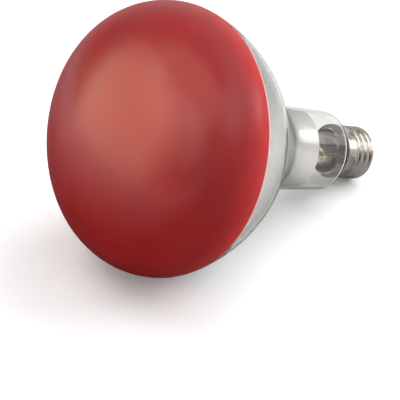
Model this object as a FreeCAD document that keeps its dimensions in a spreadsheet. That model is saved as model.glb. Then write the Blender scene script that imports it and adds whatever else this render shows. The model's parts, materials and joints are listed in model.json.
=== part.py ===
"""Infrared heat lamp: a blown reflector bulb with a red face, its mount, and a screw cap.

Every piece is modelled on the lamp's own axis, which is local Z. Stations are measured along that axis
from the crown of the face towards the cap. At the end all pieces get one placement, which lays the lamp
on its side.
"""
import FreeCAD, Part
import math
import os
import re
import Sketcher
from FreeCAD import Placement, Rotation, Vector

SIZES = {
    # blown bulb
    "bulb_radius": (62.5, "widest radius of the bulb"),
    "face_height": (41.9, "crown of the face to the widest ring"),
    "face_edge_radius": (34.1, "curve between face and widest ring"),
    "back_edge_radius": (25.0, "curve behind the widest ring"),
    "back_edge_turn": (16.2, "turn of that curve, degrees"),
    "reflector_radius": (78.0, "long curve of the reflector"),
    "throat_radius": (28.9, "hollow curve between reflector and neck"),
    "neck_radius": (19.3, "neck radius at its shoulder"),
    "neck_taper": (1.87, "taper of the neck on one side, degrees"),
    "neck_end": (143.2, "station where the neck turns into its shoulder"),
    "shoulder_radius": (2.6, "outer curve of the shoulder"),
    "shoulder_slope": (78.4, "slope of the shoulder to the axis, degrees"),
    "shoulder_hollow": (3.0, "hollow curve between shoulder and tail"),
    "glass_wall": (1.1, "thickness of the blown wall"),
    "tail_gap": (2.55, "gap between the sealed tail and the black glass"),
    # stem
    "flare_width": (2.25, "how far the flare opens beyond the stem tube"),
    "stem_wall": (1.0, "wall of the stem tube"),
    "flare_height": (6.0, "height of the flare along the axis"),
    "flare_curve": (12.0, "hollow curve of the flare"),
    "press_width": (17.0, "width of the flattened press"),
    "press_thickness": (5.4, "thickness of the press"),
    "press_height": (9.0, "height of the press along the axis"),
    "press_neck": (5.0, "height over which the tube is flattened into the press"),
    "press_floor": (1.5, "glass between the press and the tube's bore"),
    "stem_length": (36.1, "from the sealed tail to the press's face"),
    "exhaust_radius": (2.2, "outer radius of the exhaust tube"),
    "exhaust_bore": (1.3, "bore of the exhaust tube"),
    "exhaust_tip": (0.8, "radius of the exhaust tube's melted tip"),
    "exhaust_taper": (4.4, "length of the taper to the melted tip"),
    "exhaust_plug": (2.2, "melted glass between that taper and the bore"),
    "exhaust_inset": (3.6, "from the sealed tail to the exhaust tube's sealed tip"),
    "rod_radius": (2.0, "radius of the support rod"),
    "button_radius": (3.4, "radius of the button on the support rod"),
    "rod_length": (21.6, "from the press to the button's centre"),
    # wires and filament
    "filament_reach": (34.5, "from the press to the filament ring"),
    "filament_ring": (14.0, "radius of the filament ring"),
    "filament_coil": (1.1, "outer radius of the filament's coil"),
    "filament_gap": (30.0, "half of the gap in the ring, degrees"),
    "post_radius": (0.75, "radius of the nickel posts"),
    "post_spacing": (9.0, "distance between the posts in the press"),
    "post_depth": (6.0, "how deep a post sits in the press"),
    "post_bend": (5.0, "bend radius of the posts"),
    "post_stand": (8.5, "from the filament ring back to the corner where a post turns outwards"),
    "post_tip": (5.5, "length of a post's last run, along the axis"),
    "hook_radius": (0.35, "radius of a molybdenum hook"),
    "hook_bend": (1.3, "bend radius of a hook"),
    "hook_root": (3.9, "length of a hook's first run out of the button"),
    "hook_rise": (7.0, "length of a hook's run beside the filament, along the axis"),
    "hook_count": (4, "number of hooks"),
    "lead_radius": (0.4, "radius of the copper leads"),
    "lead_bend": (1.1, "bend radius of the copper leads"),
    # screw cap
    "rim_setback": (8.5, "from the neck's end to the shell's open rim"),
    "cement_wall": (1.05, "cement between the tail and the shell's narrow bore"),
    "thread_radius": (13.1, "radius over the thread's crests"),
    "thread_depth": (0.9, "depth of the rolled thread"),
    "thread_pitch": (3.629, "pitch, seven turns to the inch"),
    "thread_land": (0.6, "width of the crest between two grooves"),
    "thread_inset": (4.1, "from the open rim to the start of the groove"),
    "thread_runout": (1.387, "from the end of the groove to the shell's end curve"),
    "thread_angle": (-14.0, "direction of the groove's start about the axis, degrees"),
    "shell_wall": (0.35, "thickness of the rolled sheet"),
    "rim_flare": (0.3, "how far the rim opens outwards"),
    "rim_height": (0.7, "height of the opened rim"),
    "shell_length": (17.1, "from the open rim to the shell's end curve"),
    "shell_end_curve": (1.2, "outer curve of the shell's end"),
    "shell_lip": (2.0, "width of the turned-in lip"),
    "cement_depth": (8.0, "depth of the cement ring in the shell"),
    "cement_recess": (0.3, "how far the cement stays below the rim"),
    "insulator_depth": (2.4, "how far the black glass reaches into the shell"),
    "insulator_height": (3.4, "how far the black glass stands out of the shell"),
    "insulator_nose": (5.6, "radius of the black glass under the contact"),
    "insulator_curve": (9.0, "hollow curve of the black glass between lip and contact"),
    "insulator_hole": (1.4, "radius of the hole for the lead"),
    "contact_radius": (4.8, "radius of the centre contact"),
    "contact_thickness": (0.6, "thickness of the centre contact"),
    "contact_hole": (1.0, "radius of the hole in the contact"),
    "solder_radius": (2.6, "radius of the solder on the contact"),
    "solder_height": (0.9, "height of the solder on the contact"),
    "joint_radius": (1.3, "radius of the solder on the shell's rim"),
    "joint_height": (0.8, "height of the solder on the shell's rim"),
    "joint_offset": (0.825, "how far that solder's centre lies inside the rim's outer face"),
    "joint_angle": (200.0, "direction of the rim's solder about the axis, degrees"),
    "fit_gap": (0.05, "gap between pieces that seat on each other"),
}

PLACES = {
    "cap_mouth": "neck_end + rim_setback",
    "shell_end": "cap_mouth + shell_length",
    "thread_start": "cap_mouth + thread_inset",
    "thread_turns": "(shell_length - thread_inset - thread_runout) / thread_pitch",
    "tail_radius": "thread_radius - thread_depth - shell_wall - cement_wall",
    "tail_end": "shell_end + shell_end_curve - shell_wall - insulator_depth - tail_gap - glass_wall",
    "stem_radius": "tail_radius - glass_wall - fit_gap - flare_width",
    "press_face": "tail_end - stem_length",
    "exhaust_end": "tail_end - exhaust_inset",
    "button_station": "press_face - rod_length",
    "filament_station": "press_face - filament_reach",
}

doc = FreeCAD.newDocument("heat_lamp")
sheet = doc.addObject("Spreadsheet::Sheet", "Sizes")
for row, (alias, (number, note)) in enumerate(SIZES.items(), start=1):
    sheet.set(f"A{row}", alias)
    sheet.set(f"B{row}", str(number))
    sheet.set(f"C{row}", note)
    sheet.setAlias(f"B{row}", alias)
doc.recompute()

FEED_SIDE = -90
SAME_PLACE = 1e-4

nodes = []
turns = {}


def value(formula):
    """The number that a formula of sheet names stands for."""
    result = sheet.evalExpression(bound(formula))
    return float(getattr(result, "Value", result))


def bound(formula):
    """A formula with its places spelled out in sizes, and its sizes pointed at the sheet."""
    spelled = ""
    while spelled != formula:
        spelled = formula
        formula = re.sub("[a-z_]+", lambda m: f"({PLACES[m[0]]})" if m[0] in PLACES else m[0], formula)
    return re.sub("[a-z_]+", lambda m: f"Sizes.{m[0]}" if m[0] in SIZES else m[0], formula)


def bind(obj, prop, formula):
    """Tie a property to a formula of sheet names."""
    obj.setExpression(prop, bound(formula))


def new_body(label):
    """A body for one piece of the lamp."""
    body = doc.addObject("PartDesign::Body", label)
    body.Label = label
    nodes.append(body)
    return body


def new_sketch(body, name, role="XZ_Plane"):
    """A sketch on one of the body's own planes. On XZ, x is the radius and y the station."""
    sketch = body.newObject("Sketcher::SketchObject", name)
    plane = next(f for f in body.Origin.OriginFeatures if f.Role == role)
    sketch.AttachmentSupport = (plane, [""])
    sketch.MapMode = "FlatFace"
    return sketch


def constrain(sketch, name, formula, *parts):
    """Add a dimension and tie it to a formula."""
    number = value(formula)
    if parts[0] == "Angle":
        number = math.radians(number)
        formula = f"({formula}) * 1 deg"
    index = sketch.addConstraint(Sketcher.Constraint(*parts, number))
    sketch.renameConstraint(index, name)
    bind(sketch, f"Constraints.{name}", formula)


def pin_point(sketch, name, geo, pos, radius, station):
    """Fix a point of the sketch to a radius and a station."""
    if radius == "0":
        sketch.addConstraint(Sketcher.Constraint("PointOnObject", geo, pos, -2))
    else:
        constrain(sketch, f"{name}_x", radius, "DistanceX", -1, 1, geo, pos)
    if station == "0":
        sketch.addConstraint(Sketcher.Constraint("PointOnObject", geo, pos, -1))
    else:
        constrain(sketch, f"{name}_y", station, "DistanceY", -1, 1, geo, pos)


def arc_about(centre, radius, first, last):
    """A sketch arc, counter-clockwise from one angle to another, in degrees."""
    circle = Part.Circle(Vector(centre[0], centre[1], 0), Vector(0, 0, 1), radius)
    return Part.ArcOfCircle(circle, math.radians(first), math.radians(last))


def draw_outline(sketch, corners):
    """Draw a closed outline. A corner is (radius, station), with a signed arc radius if a curve follows it.

    A positive arc radius puts the curve's centre on the left of the way from this corner to the next.
    """
    count = len(corners)
    points = [(value(c[0]), value(c[1])) for c in corners]
    ends = []
    for i, corner in enumerate(corners):
        a = points[i]
        b = points[(i + 1) % count]
        if len(corner) == 2:
            geo = sketch.addGeometry(Part.LineSegment(Vector(*a, 0), Vector(*b, 0)), False)
            ends.append((geo, 1, 2))
            continue
        radius = value(corner[2])
        chord = math.dist(a, b)
        rise = math.sqrt(max(radius ** 2 - chord ** 2 / 4, 0)) * math.copysign(1, radius)
        middle = ((a[0] + b[0]) / 2, (a[1] + b[1]) / 2)
        centre = (middle[0] - (b[1] - a[1]) / chord * rise, middle[1] + (b[0] - a[0]) / chord * rise)
        angle_a = math.degrees(math.atan2(a[1] - centre[1], a[0] - centre[0]))
        angle_b = math.degrees(math.atan2(b[1] - centre[1], b[0] - centre[0]))
        if radius > 0:
            geo = sketch.addGeometry(arc_about(centre, abs(radius), angle_a, angle_b), False)
            ends.append((geo, 1, 2))
        else:
            geo = sketch.addGeometry(arc_about(centre, abs(radius), angle_b, angle_a), False)
            ends.append((geo, 2, 1))
    for i, corner in enumerate(corners):
        geo, first, last = ends[i]
        next_geo, next_first, _ = ends[(i + 1) % count]
        sketch.addConstraint(Sketcher.Constraint("Coincident", geo, last, next_geo, next_first))
    for i, corner in enumerate(corners):
        geo, first, last = ends[i]
        pin_point(sketch, f"corner_{i}", geo, first, corner[0], corner[1])
        if len(corner) == 3:
            constrain(sketch, f"curve_{i}", corner[2].lstrip("-"), "Radius", geo)
    return sketch


def revolve(body, name, sketch, kind="PartDesign::Revolution"):
    """Turn a sketch about the lamp's axis."""
    feature = body.newObject(kind, name)
    feature.Profile = sketch
    feature.ReferenceAxis = (sketch, ["V_Axis"])
    feature.Angle = 360.0
    sketch.Visibility = False
    body.Tip = feature
    return feature


def turned(label, corners):
    """A piece turned from one closed outline."""
    body = new_body(label)
    sketch = draw_outline(new_sketch(body, f"{label}_outline"), corners)
    revolve(body, f"{label}_turned", sketch)
    return body


def round_rings(body, name, formula, rings):
    """Round the circular edges that lie at the given (radius, station) places."""
    doc.recompute()
    base = body.Tip
    wanted = [(value(r), value(z)) for r, z in rings]
    names = []
    for i, edge in enumerate(base.Shape.Edges, start=1):
        if not isinstance(edge.Curve, Part.Circle):
            continue
        centre = edge.Curve.Center
        for radius, station in wanted:
            if abs(edge.Curve.Radius - radius) < SAME_PLACE and abs(centre.z - station) < SAME_PLACE:
                names.append(f"Edge{i}")
    feature = body.newObject("PartDesign::Fillet", name)
    feature.Base = (base, names)
    bind(feature, "Radius", formula)
    body.Tip = feature
    return feature


def tangent_circle_to_neck():
    """Centre of the throat's curve, as (radius, station), tangent to the reflector and to the neck."""
    taper = math.radians(value("neck_taper"))
    reflector = value("reflector_radius")
    centre = reflector_centre()
    normal = (math.cos(taper), math.sin(taper))
    along = (-math.sin(taper), math.cos(taper))
    level = value("neck_radius") * normal[0] + value("neck_end") * normal[1]
    offset = level + value("throat_radius") - (centre[0] * normal[0] + centre[1] * normal[1])
    reach = math.sqrt((reflector + value("throat_radius")) ** 2 - offset ** 2)
    side = centre[0] + offset * normal[0] + reach * along[0]
    return (side, centre[1] + offset * normal[1] + reach * along[1])


def reflector_centre():
    """Centre of the reflector's long curve, as (radius, station)."""
    turn = math.radians(value("back_edge_turn"))
    shift = value("back_edge_radius - reflector_radius")
    inner = value("bulb_radius - back_edge_radius")
    return (inner + shift * math.cos(turn), value("face_height") + shift * math.sin(turn))


def bulb_chain(wall):
    """Curves of the bulb's wall at a depth below its outer face, from the crown to the tail's end.

    Each entry is (kind, centre, radius, first angle, last angle, drawn forwards). Hollow arcs are drawn
    backwards, and a line only joins its neighbours.
    """
    height = value("face_height")
    edge = value("face_edge_radius")
    inner = value("bulb_radius - face_edge_radius")
    face = (height ** 2 + inner ** 2 - edge ** 2) / (2 * height - 2 * edge)
    face_turn = math.degrees(math.atan2(height - face, inner))
    back_centre = (value("bulb_radius - back_edge_radius"), height)
    long_centre = reflector_centre()
    throat = tangent_circle_to_neck()
    turn = value("back_edge_turn")
    throat_turn = math.degrees(math.atan2(throat[1] - long_centre[1], throat[0] - long_centre[0]))
    taper = value("neck_taper")
    slope = value("shoulder_slope")
    rad = math.radians
    curve = value("shoulder_radius")
    neck = value("neck_radius")
    shoulder = (neck - curve * math.cos(rad(taper)), value("neck_end") - curve * math.sin(rad(taper)))
    hollow = value("shoulder_hollow")
    start = (shoulder[0] + curve * math.cos(rad(slope)), shoulder[1] + curve * math.sin(rad(slope)))
    tail = value("tail_radius")
    hollow_radius = tail + hollow
    foot = (hollow_radius - hollow * math.cos(rad(slope)), 0.0)
    foot_station = start[1] + (start[0] - foot[0]) / math.tan(rad(slope))
    hollow_centre = (hollow_radius, foot_station + hollow * math.sin(rad(slope)))
    throat_radius = value("throat_radius")
    return [
        ("arc", (0.0, face), face - wall, -90.0, face_turn, True),
        ("arc", (inner, height), edge - wall, face_turn, 0.0, True),
        ("arc", back_centre, value("back_edge_radius") - wall, 0.0, turn, True),
        ("arc", long_centre, value("reflector_radius") - wall, turn, throat_turn, True),
        ("arc", throat, throat_radius + wall, 180.0 + taper, 180.0 + throat_turn, False),
        ("line",),
        ("arc", shoulder, curve - wall, taper, slope, True),
        ("line",),
        ("arc", hollow_centre, hollow + wall, 180.0, 180.0 + slope, False),
        ("line",),
    ], (tail - wall, value("tail_end"))


def point_on(entry, at_end):
    """First or last point of an arc of the chain, in the direction of travel."""
    _, centre, radius, first, last, forwards = entry
    angle = math.radians(last if at_end == forwards else first)
    return (centre[0] + radius * math.cos(angle), centre[1] + radius * math.sin(angle))


def draw_chain(sketch, wall):
    """Draw one face of the bulb's wall and make its curves run smoothly into each other."""
    chain, tail_end = bulb_chain(wall)
    ends = []
    for i, entry in enumerate(chain):
        if entry[0] == "arc":
            geo = sketch.addGeometry(arc_about(*entry[1:5]), False)
            ends.append((geo, 1, 2) if entry[5] else (geo, 2, 1))
            continue
        first = point_on(chain[i - 1], True)
        last = point_on(chain[i + 1], False) if i + 1 < len(chain) else tail_end
        geo = sketch.addGeometry(Part.LineSegment(Vector(*first, 0), Vector(*last, 0)), False)
        ends.append((geo, 1, 2))
    for (geo, _, last), (next_geo, first, _) in zip(ends, ends[1:]):
        sketch.addConstraint(Sketcher.Constraint("Tangent", geo, last, next_geo, first))
    return ends


def make_glass_bulb():
    """The blown bulb: face, widest ring, reflector, throat, neck, shoulder and tail, with one even wall."""
    body = new_body("glass_bulb")
    sketch = new_sketch(body, "bulb_wall")
    outer = draw_chain(sketch, 0.0)
    face, edge, back, long_arc, throat, neck, shoulder, slope, hollow, tail = [e[0] for e in outer]
    sketch.addConstraint(Sketcher.Constraint("Coincident", face, 1, -1, 1))
    sketch.addConstraint(Sketcher.Constraint("PointOnObject", face, 3, -2))
    constrain(sketch, "bulb_radius", "bulb_radius", "DistanceX", -1, 1, edge, 2)
    constrain(sketch, "face_height", "face_height", "DistanceY", -1, 1, edge, 2)
    sketch.addConstraint(Sketcher.Constraint("Horizontal", edge, 3, edge, 2))
    constrain(sketch, "face_edge_radius", "face_edge_radius", "Radius", edge)
    constrain(sketch, "back_edge_radius", "back_edge_radius", "Radius", back)
    constrain(sketch, "back_edge_turn", "back_edge_turn", "Angle", back)
    constrain(sketch, "reflector_radius", "reflector_radius", "Radius", long_arc)
    constrain(sketch, "throat_radius", "throat_radius", "Radius", throat)
    constrain(sketch, "neck_slope", "90 + neck_taper", "Angle", neck)
    constrain(sketch, "neck_radius", "neck_radius", "DistanceX", -1, 1, neck, 2)
    constrain(sketch, "neck_end", "neck_end", "DistanceY", -1, 1, neck, 2)
    constrain(sketch, "shoulder_radius", "shoulder_radius", "Radius", shoulder)
    constrain(sketch, "shoulder_slope", "90 + shoulder_slope", "Angle", slope)
    constrain(sketch, "shoulder_hollow", "shoulder_hollow", "Radius", hollow)
    sketch.addConstraint(Sketcher.Constraint("Vertical", tail))
    constrain(sketch, "tail_radius", "tail_radius", "DistanceX", -1, 1, tail, 2)
    constrain(sketch, "tail_end", "tail_end", "DistanceY", -1, 1, tail, 2)
    inner = draw_chain(sketch, value("glass_wall"))
    for (outer_geo, _, _), (inner_geo, _, _) in zip(outer, inner):
        if isinstance(sketch.Geometry[outer_geo], Part.ArcOfCircle):
            sketch.addConstraint(Sketcher.Constraint("Coincident", outer_geo, 3, inner_geo, 3))
        else:
            sketch.addConstraint(Sketcher.Constraint("Parallel", outer_geo, inner_geo))
    crown = inner[0][0]
    inner_tail = inner[-1][0]
    sketch.addConstraint(Sketcher.Constraint("PointOnObject", crown, 1, -2))
    constrain(sketch, "glass_wall", "glass_wall", "DistanceY", -1, 1, crown, 1)
    rim_ends = (sketch.Geometry[tail].EndPoint, sketch.Geometry[inner_tail].EndPoint)
    rim = sketch.addGeometry(Part.LineSegment(*rim_ends))
    sketch.addConstraint(Sketcher.Constraint("Coincident", rim, 1, tail, 2))
    sketch.addConstraint(Sketcher.Constraint("Coincident", rim, 2, inner_tail, 2))
    sketch.addConstraint(Sketcher.Constraint("Horizontal", rim))
    axis = sketch.addGeometry(Part.LineSegment(Vector(0, value("glass_wall"), 0), Vector(0, 0, 0)))
    sketch.addConstraint(Sketcher.Constraint("Coincident", axis, 1, crown, 1))
    sketch.addConstraint(Sketcher.Constraint("Coincident", axis, 2, face, 1))
    revolve(body, "bulb_blown", sketch)
    return body


def circle_sketch(body, name, radius, offset, station):
    """A circle square to the axis, at an offset along local X."""
    sketch = new_sketch(body, name, "XY_Plane")
    sketch.addGeometry(Part.Circle(Vector(value(offset), 0, 0), Vector(0, 0, 1), value(radius)), False)
    constrain(sketch, "radius", radius, "Radius", 0)
    sketch.addConstraint(Sketcher.Constraint("PointOnObject", 0, 3, -1))
    if offset == "0":
        sketch.addConstraint(Sketcher.Constraint("PointOnObject", 0, 3, -2))
    else:
        constrain(sketch, "offset", offset, "DistanceX", -1, 1, 0, 3)
    bind(sketch, "AttachmentOffset.Base.z", station)
    return sketch


def slot_sketch(body, name, width, thickness, station):
    """A slot square to the axis: a flattened tube's section."""
    sketch = new_sketch(body, name, "XY_Plane")
    end = value(thickness) / 2
    flat = value(width) / 2 - end
    sketch.addGeometry(arc_about((flat, 0), end, -90, 90), False)
    sketch.addGeometry(Part.LineSegment(Vector(flat, end, 0), Vector(-flat, end, 0)), False)
    sketch.addGeometry(arc_about((-flat, 0), end, 90, 270), False)
    sketch.addGeometry(Part.LineSegment(Vector(-flat, -end, 0), Vector(flat, -end, 0)), False)
    sketch.addConstraint(Sketcher.Constraint("Tangent", 0, 2, 1, 1))
    sketch.addConstraint(Sketcher.Constraint("Tangent", 1, 2, 2, 1))
    sketch.addConstraint(Sketcher.Constraint("Tangent", 2, 2, 3, 1))
    sketch.addConstraint(Sketcher.Constraint("Tangent", 3, 2, 0, 1))
    sketch.addConstraint(Sketcher.Constraint("PointOnObject", 0, 3, -1))
    sketch.addConstraint(Sketcher.Constraint("PointOnObject", 2, 3, -1))
    sketch.addConstraint(Sketcher.Constraint("Equal", 0, 2))
    constrain(sketch, "end", f"({thickness}) / 2", "Radius", 0)
    constrain(sketch, "right", f"({width} - {thickness}) / 2", "DistanceX", -1, 1, 0, 3)
    constrain(sketch, "left", f"-({width} - {thickness}) / 2", "DistanceX", -1, 1, 2, 3)
    bind(sketch, "AttachmentOffset.Base.z", station)
    return sketch


def make_stem():
    """The stem: a flare sealed to the bulb's tail, a tube, and the press that holds the leads."""
    mouth = "tail_radius - glass_wall - fit_gap"
    root = "press_face + press_height + press_neck"
    body = turned("stem_glass", [
        ("stem_radius", root),
        ("stem_radius", "tail_end - flare_height", "-flare_curve"),
        (mouth, "tail_end"),
        ("tail_radius", "tail_end"),
        ("tail_radius", "tail_end + glass_wall"),
        (mouth, "tail_end + glass_wall", "flare_curve + stem_wall"),
        ("stem_radius - stem_wall", "tail_end - flare_height"),
        ("stem_radius - stem_wall", f"{root} + press_floor"),
        ("0", f"{root} + press_floor"),
        ("0", root),
    ])
    base = "press_face + press_height"
    round_tube = circle_sketch(body, "press_root", "stem_radius", "0", root)
    flat_tube = slot_sketch(body, "press_base", "press_width", "press_thickness", base)
    loft = body.newObject("PartDesign::AdditiveLoft", "press_neck_loft")
    loft.Profile = round_tube
    loft.Sections = [flat_tube]
    body.Tip = loft
    outline = slot_sketch(body, "press_outline", "press_width", "press_thickness", "press_face")
    pad = body.newObject("PartDesign::Pad", "press_pad")
    pad.Profile = outline
    bind(pad, "Length", "press_height")
    body.Tip = pad
    lead_depth = "press_height - post_depth + press_neck + press_floor"
    holes = [
        ("post", "post_radius + fit_gap", "press_face", "post_depth"),
        ("lead", "lead_radius + fit_gap", "press_face + post_depth", lead_depth),
    ]
    for side, sign in (("side", "-"), ("centre", "")):
        for part, radius, start, depth in holes:
            hole = circle_sketch(body, f"{part}_hole_{side}", radius, f"{sign}post_spacing / 2", start)
            pocket = body.newObject("PartDesign::Pocket", f"{part}_pocket_{side}")
            pocket.Profile = hole
            bind(pocket, "Length", depth)
            pocket.Reversed = True
            body.Tip = pocket
    return body


def make_exhaust_tube():
    """The tube that the bulb was pumped through, closed at its tip where it was melted off."""
    return turned("exhaust_tube", [
        ("exhaust_bore", "press_face + press_height + press_neck + press_floor"),
        ("exhaust_radius", "press_face + press_height + press_neck + press_floor"),
        ("exhaust_radius", "exhaust_end - exhaust_taper"),
        ("exhaust_tip", "exhaust_end - exhaust_tip", "exhaust_tip"),
        ("0", "exhaust_end"),
        ("0", "exhaust_end - exhaust_taper"),
        ("exhaust_bore", "exhaust_end - exhaust_taper - exhaust_plug"),
    ])


def make_support_rod():
    """The glass rod on the press, with the round button that the hooks are set in."""
    return turned("support_rod", [
        ("0", "press_face"),
        ("0", "button_station - button_radius", "button_radius"),
        ("button_radius", "button_station", "button_radius"),
        ("rod_radius", "button_station + sqrt(button_radius ^ 2 - rod_radius ^ 2)"),
        ("rod_radius", "press_face"),
    ])


def make_filament():
    """The filament: the coil's outer form, bent to an open ring round the axis."""
    ring = doc.addObject("Part::Torus", "filament")
    ring.Label = "filament"
    bind(ring, "Radius1", "filament_ring")
    bind(ring, "Radius2", "filament_coil")
    bind(ring, "Angle3", "360 - 2 * filament_gap")
    nodes.append(ring)
    start = Rotation(Vector(0, 0, 1), FEED_SIDE + value("filament_gap"))
    turns["filament"] = Placement(Vector(0, 0, value("filament_station")), start)
    return ring


def round_wire(label, corners, radius, bend):
    """A bent wire: straight runs joined by tangent arcs, with one round section."""
    points = [Vector(*corner) for corner in corners]
    start = points[0]
    edges = []
    for before, corner, after in zip(points, points[1:], points[2:]):
        way_in = (corner - before).normalize()
        way_out = (after - corner).normalize()
        turn = way_in.getAngle(way_out)
        reach = bend * math.tan(turn / 2)
        arc_start = corner - way_in * reach
        arc_end = corner + way_out * reach
        inward = (way_out - way_in).normalize()
        middle = corner + inward * (bend / math.cos(turn / 2) - bend)
        edges.append(Part.LineSegment(start, arc_start).toShape())
        edges.append(Part.Arc(arc_start, middle, arc_end).toShape())
        start = arc_end
    edges.append(Part.LineSegment(start, points[-1]).toShape())
    path = Part.Wire(edges)
    section = Part.Wire(Part.makeCircle(radius, points[0], points[1] - points[0]))
    wire = doc.addObject("Part::Feature", label)
    wire.Label = label
    wire.Shape = path.makePipeShell([section], True, False)
    nodes.append(wire)
    return wire


def polar(radius, angle, station):
    """A corner given by its distance from the axis, its direction in degrees and its station."""
    return (radius * math.cos(math.radians(angle)), radius * math.sin(math.radians(angle)), station)


def make_posts():
    """Two nickel posts, from the press to the ends of the filament ring."""
    clearance = math.degrees(value("(post_radius + fit_gap) / filament_ring"))
    for name, sign in (("post_side", -1), ("post_centre", 1)):
        offset = sign * value("post_spacing / 2")
        tip = FEED_SIDE + sign * (value("filament_gap") - clearance)
        round_wire(name, [
            (offset, 0, value("press_face + post_depth")),
            (offset, 0, value("filament_station + post_stand")),
            polar(value("filament_ring"), tip, value("filament_station - filament_coil + post_tip")),
            polar(value("filament_ring"), tip, value("filament_station - filament_coil")),
        ], value("post_radius"), value("post_bend"))


def make_hooks():
    """Molybdenum hooks, from the button round the outside of the filament's coil."""
    outside = value("filament_ring + filament_coil + hook_radius + fit_gap")
    under = value("filament_station - filament_coil - hook_radius - fit_gap")
    count = int(value("hook_count"))
    span = value("360 - 2 * filament_gap")
    for i in range(count):
        angle = FEED_SIDE + value("filament_gap") + span * (i + 0.5) / count
        round_wire(f"hook_{i + 1}", [
            polar(value("button_radius + fit_gap"), angle, value("button_station")),
            polar(value("button_radius + hook_root"), angle, value("button_station")),
            polar(outside, angle, value("filament_station + hook_rise")),
            polar(outside, angle, under),
            polar(value("filament_ring - filament_coil"), angle, under),
        ], value("hook_radius"), value("hook_bend"))


def make_leads():
    """Two copper leads, from the posts in the press to the shell's rim and to the centre contact."""
    start = value("press_face + post_depth")
    offset = value("post_spacing / 2")
    radius = value("lead_radius")
    bend = value("lead_bend")
    channel = value("(tail_radius + thread_radius - thread_depth - shell_wall) / 2")
    angle = value("joint_angle")
    turn = value("(tail_end + glass_wall + shell_end + shell_end_curve - shell_wall - insulator_depth) / 2")
    round_wire("lead_side", [
        (-offset, 0, start),
        (-offset, 0, value("exhaust_end - exhaust_radius")),
        polar(value("stem_radius"), angle, turn),
        polar(channel, angle, turn),
        polar(channel, angle, value("cap_mouth")),
    ], radius, bend)
    round_wire("lead_centre", [
        (offset, 0, start),
        (offset, 0, value("exhaust_end - exhaust_radius")),
        (0, 0, turn),
        (0, 0, value("shell_end + shell_end_curve + insulator_height + contact_thickness")),
    ], radius, bend)


def make_cap_shell():
    """The screw shell: a plain collar with an opened rim, the rolled thread and a turned-in end."""
    end = "shell_end + shell_end_curve"
    bore = "thread_radius - thread_depth - shell_wall"
    step = "thread_start - thread_pitch / 2 - shell_wall"
    lip = "thread_radius - shell_end_curve - shell_lip"
    body = turned("cap_shell", [
        ("thread_radius + rim_flare", "cap_mouth"),
        ("thread_radius", "cap_mouth + rim_height"),
        ("thread_radius", end),
        (lip, end),
        (lip, f"{end} - shell_wall"),
        (bore, f"{end} - shell_wall"),
        (bore, step),
        ("thread_radius - shell_wall", f"{step} - thread_depth / 2"),
        ("thread_radius - shell_wall", "cap_mouth + rim_height"),
        ("thread_radius + rim_flare - shell_wall", "cap_mouth"),
    ])
    round_rings(body, "shell_end_round", "shell_end_curve", [("thread_radius", end)])
    groove = groove_sketch(body)
    helix = body.newObject("PartDesign::SubtractiveHelix", "rolled_thread")
    helix.Profile = groove
    helix.ReferenceAxis = (groove, ["V_Axis"])
    helix.Mode = 1
    bind(helix, "Pitch", "thread_pitch")
    bind(helix, "Turns", "thread_turns")
    helix.LeftHanded = False
    helix.Reversed = False
    body.Tip = helix
    turns["cap_shell"] = Placement(Vector(0, 0, 0), Rotation(Vector(0, 0, 1), value("thread_angle")))
    return body


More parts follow.
